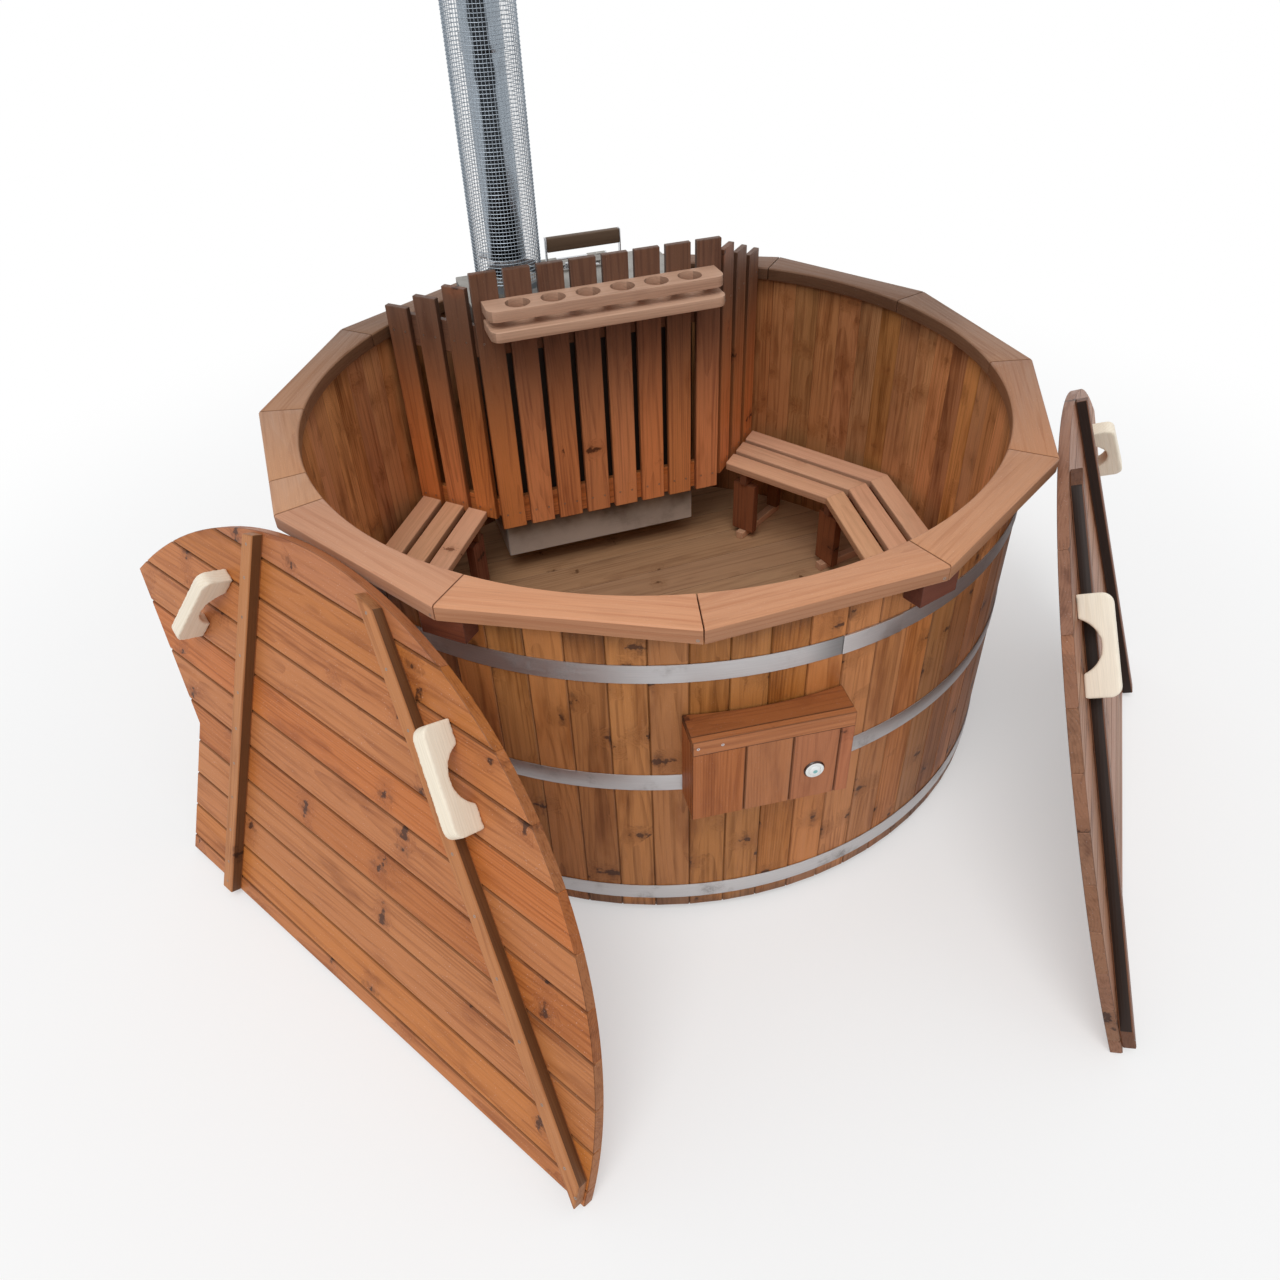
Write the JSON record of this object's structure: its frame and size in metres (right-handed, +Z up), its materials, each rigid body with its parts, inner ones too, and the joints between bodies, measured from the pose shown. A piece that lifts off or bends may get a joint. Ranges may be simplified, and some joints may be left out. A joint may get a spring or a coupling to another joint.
{
  "type": "wooden hot tub",
  "caption": "Round staved wooden hot tub with hoops, an inside wood-fired heater behind a slatted fence, a flue with guard, a ring bench, a blower box, a drain and a two-part lid.",
  "frame": {"origin": "On the tub's vertical axis at ground level, the underside of the middle floor bearer.", "axes": "+Z up; -Y towards the front with the blower box; +X to the right as seen from the front."},
  "size_m": [2.9394, 2.8073, 2.486],
  "materials": {
    "stave_wood": "oiled softwood with knots and strong colour variation",
    "floor_wood": "planed softwood, wet-dark at the edges",
    "hoop_steel": "cold-rolled stainless strip",
    "rim_wood": "planed salmon-brown hardwood",
    "fence_wood": "reddish brown planed softwood",
    "cup_wood": "pale planed hardwood",
    "bench_wood": "pinkish tan planed slats",
    "heater_metal": "dull welded sheet",
    "bright_metal": "bright stainless",
    "flue_metal": "heat-darkened stainless tube",
    "grip_wood": "dark reddish hardwood bar",
    "box_wood": "oiled softwood boards",
    "button_plastic": "white, with a plain teal centre mark",
    "blower_plastic": "black moulding",
    "drain_metal": "plated brass",
    "lever_paint": "red dipped steel",
    "lid_wood": "orange-brown boards with dark grooves and knots",
    "handle_wood": "bare pale cream wood"
  },
  "bodies": {
    "tub": {"staves": "stave_wood", "floor_boards": "floor_wood", "floor_bearers": "floor_wood", "hoop_top": "hoop_steel", "hoop_middle": "hoop_steel", "hoop_bottom": "hoop_steel", "hoop_lugs": "hoop_steel", "hoop_bolts": "hoop_steel", "rim_segments": "rim_wood", "rim_supports": "rim_wood", "fence_front_slats": "fence_wood", "fence_front_battens": "fence_wood", "fence_left_slats": "fence_wood", "fence_left_battens": "fence_wood", "fence_right_slats": "fence_wood", "fence_right_battens": "fence_wood", "cup_holder_top": "cup_wood", "cup_holder_base": "cup_wood", "cup_holder_spacers": "cup_wood", "bench_slat_outer": "bench_wood", "bench_slat_middle": "bench_wood", "bench_slat_inner": "bench_wood", "bench_bearers": "bench_wood", "bench_legs": "bench_wood", "bench_feet": "bench_wood", "heater_body": "heater_metal", "heater_feet": "heater_metal", "heater_top": "heater_metal", "fire_grate": "heater_metal", "ash_pan": "heater_metal", "heater_hinge": "bright_metal", "flue_lower": "flue_metal", "flue_upper": "flue_metal", "heat_guard": "bright_metal", "guard_brackets": "bright_metal", "rain_cap": "bright_metal", "box_top": "box_wood", "box_rail": "box_wood", "box_front_boards": "box_wood", "box_sides": "box_wood", "box_base": "box_wood", "button_bezel": "button_plastic", "air_blower": "blower_plastic", "air_inlet": "button_plastic", "drain_pipe": "drain_metal", "valve_body": "drain_metal"},
    "fuel_lid": {"heater_lid": "heater_metal", "lid_straps": "bright_metal", "lid_grip": "grip_wood"},
    "air_damper": {"air_slide": "bright_metal"},
    "blower_button": {"air_button": "button_plastic"},
    "drain_tap": {"valve_ball": "drain_metal", "valve_lever": "lever_paint"},
    "left_lid": {"lid_left_boards": "lid_wood", "lid_left_battens": "lid_wood", "lid_left_handles": "handle_wood"},
    "right_lid": {"lid_right_boards": "lid_wood", "lid_right_battens": "lid_wood", "lid_right_handles": "handle_wood"}
  },
  "joints": [
    {"name": "fuel_lid_hinge", "type": "hinge", "parent": "tub", "child": "fuel_lid", "pos_m": [-0.25882, 0.78237, 1.0828], "axis": [-0.9455, -0.3256, 0], "range_deg": [0, 100]},
    {"name": "air_damper_slide", "type": "slide", "parent": "fuel_lid", "child": "air_damper", "axis": [-0.9455, -0.3256, 0], "range_m": [0, 0.012]},
    {"name": "blower_button_push", "type": "slide", "parent": "tub", "child": "blower_button", "axis": [-0.2334, 0.9724, 0], "range_m": [0, 0.004], "stiffness_N_per_m": 400},
    {"name": "drain_tap_turn", "type": "hinge", "parent": "tub", "child": "drain_tap", "pos_m": [0.86285, 0.63615, 0.162], "axis": [0, 0, -1], "range_deg": [0, 90]},
    {"name": "left_lid_lift", "type": "slide", "parent": "tub", "child": "left_lid", "axis": [0, 0, 1], "range_m": [0, 1.1]},
    {"name": "right_lid_lift", "type": "slide", "parent": "tub", "child": "right_lid", "axis": [0, 0, 1], "range_m": [0, 1.1]}
  ]
}
